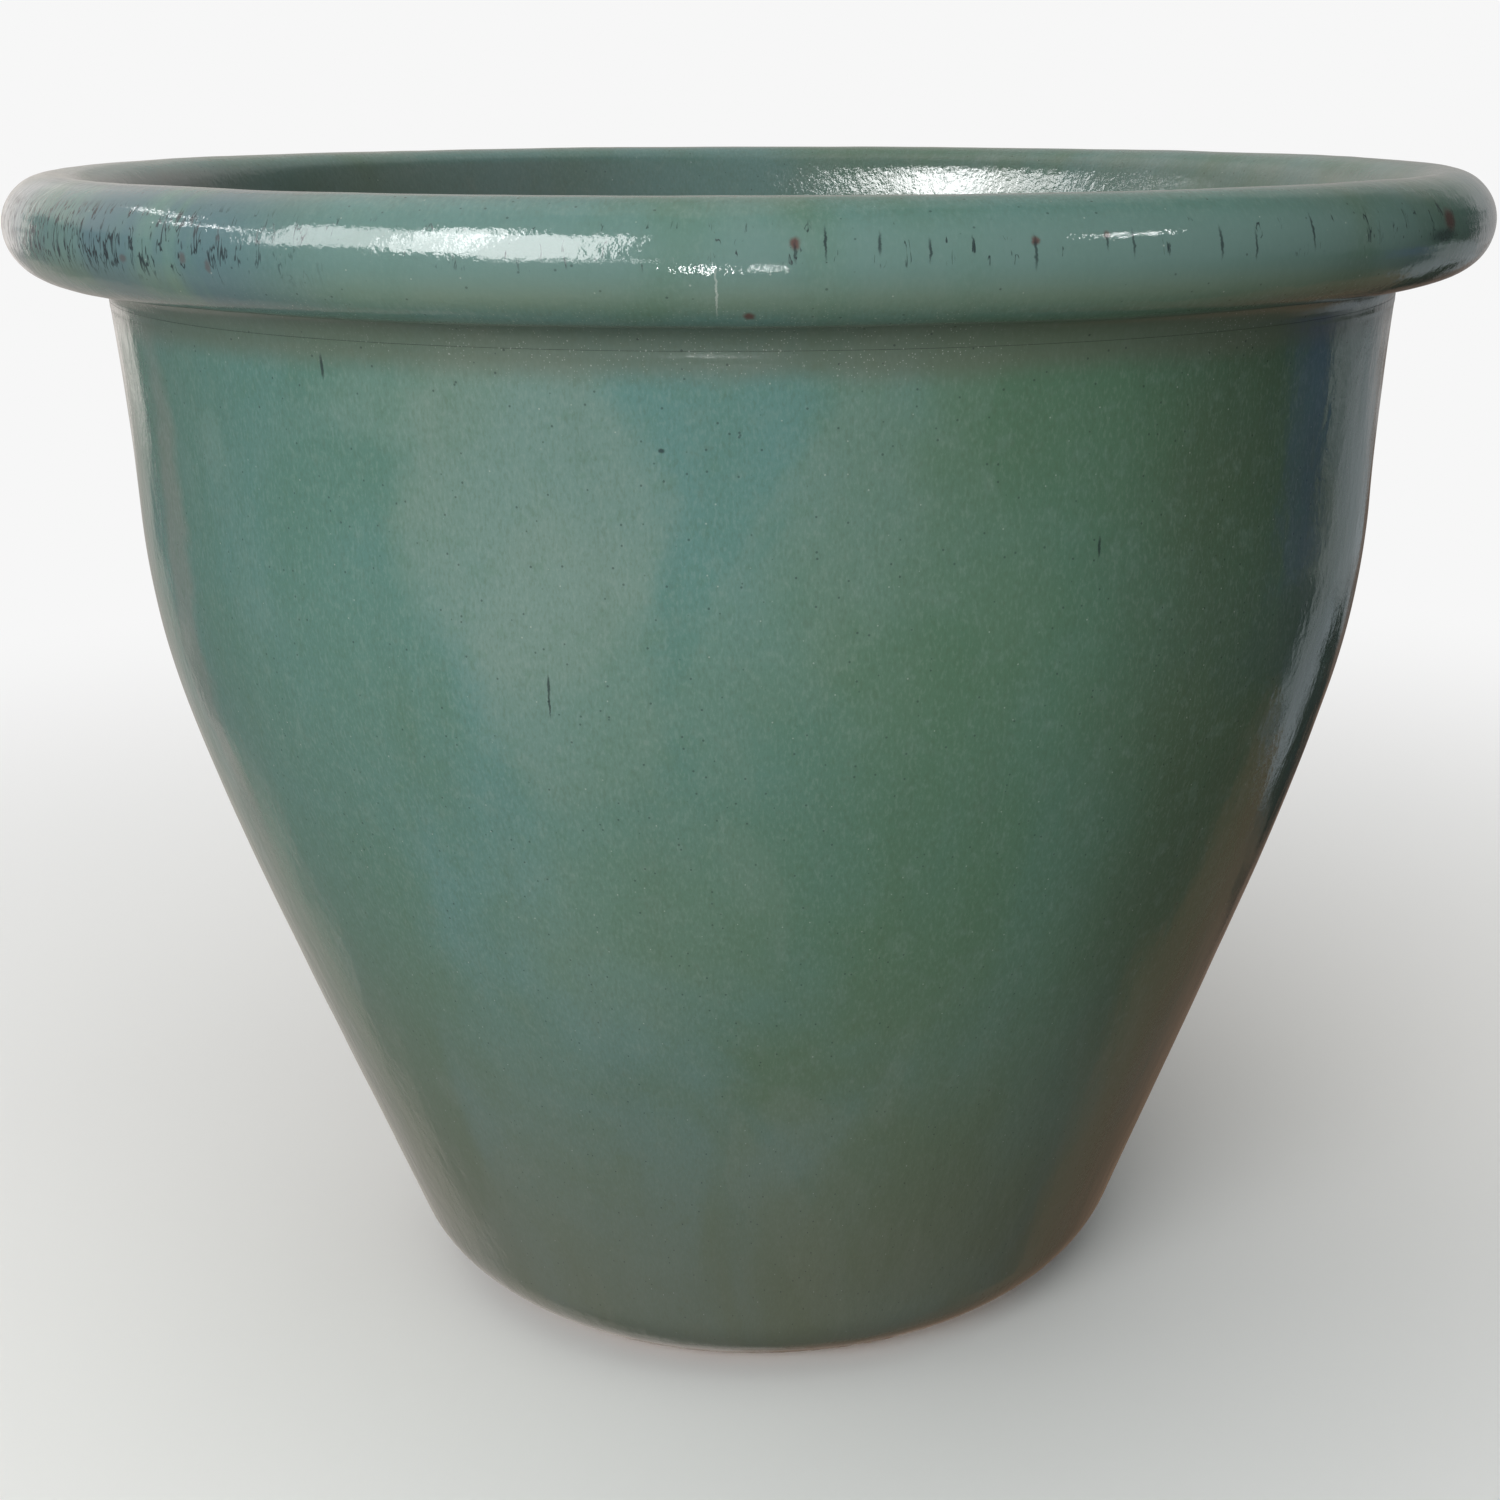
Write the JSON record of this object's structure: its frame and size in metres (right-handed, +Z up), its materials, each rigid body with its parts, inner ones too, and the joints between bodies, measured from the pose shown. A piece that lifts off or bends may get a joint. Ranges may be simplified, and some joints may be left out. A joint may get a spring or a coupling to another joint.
{
  "type": "plant pot",
  "caption": "Round glazed terracotta planter with a thick rolled rim, a shouldered body tapering to a foot ring, and a drain hole in its base.",
  "frame": {"origin": "centre of the foot ring's resting plane, at the bottom centre of the pot", "axes": "+Z up along the pot's axis of revolution; the pot is round, so X and Y are free"},
  "size_m": [0.56, 0.56, 0.45],
  "materials": {
    "clay": "bare fired terracotta, matt and slightly gritty",
    "glaze": "glossy mottled grey-green celadon glaze with vertical runs and iron specks"
  },
  "bodies": {
    "root": {"base_slab": "clay", "wall": "clay", "corner_coil": "clay", "rim_roll": "clay", "outside_glaze": "glaze", "rim_glaze": "glaze", "inside_glaze": "glaze"}
  },
  "joints": []
}
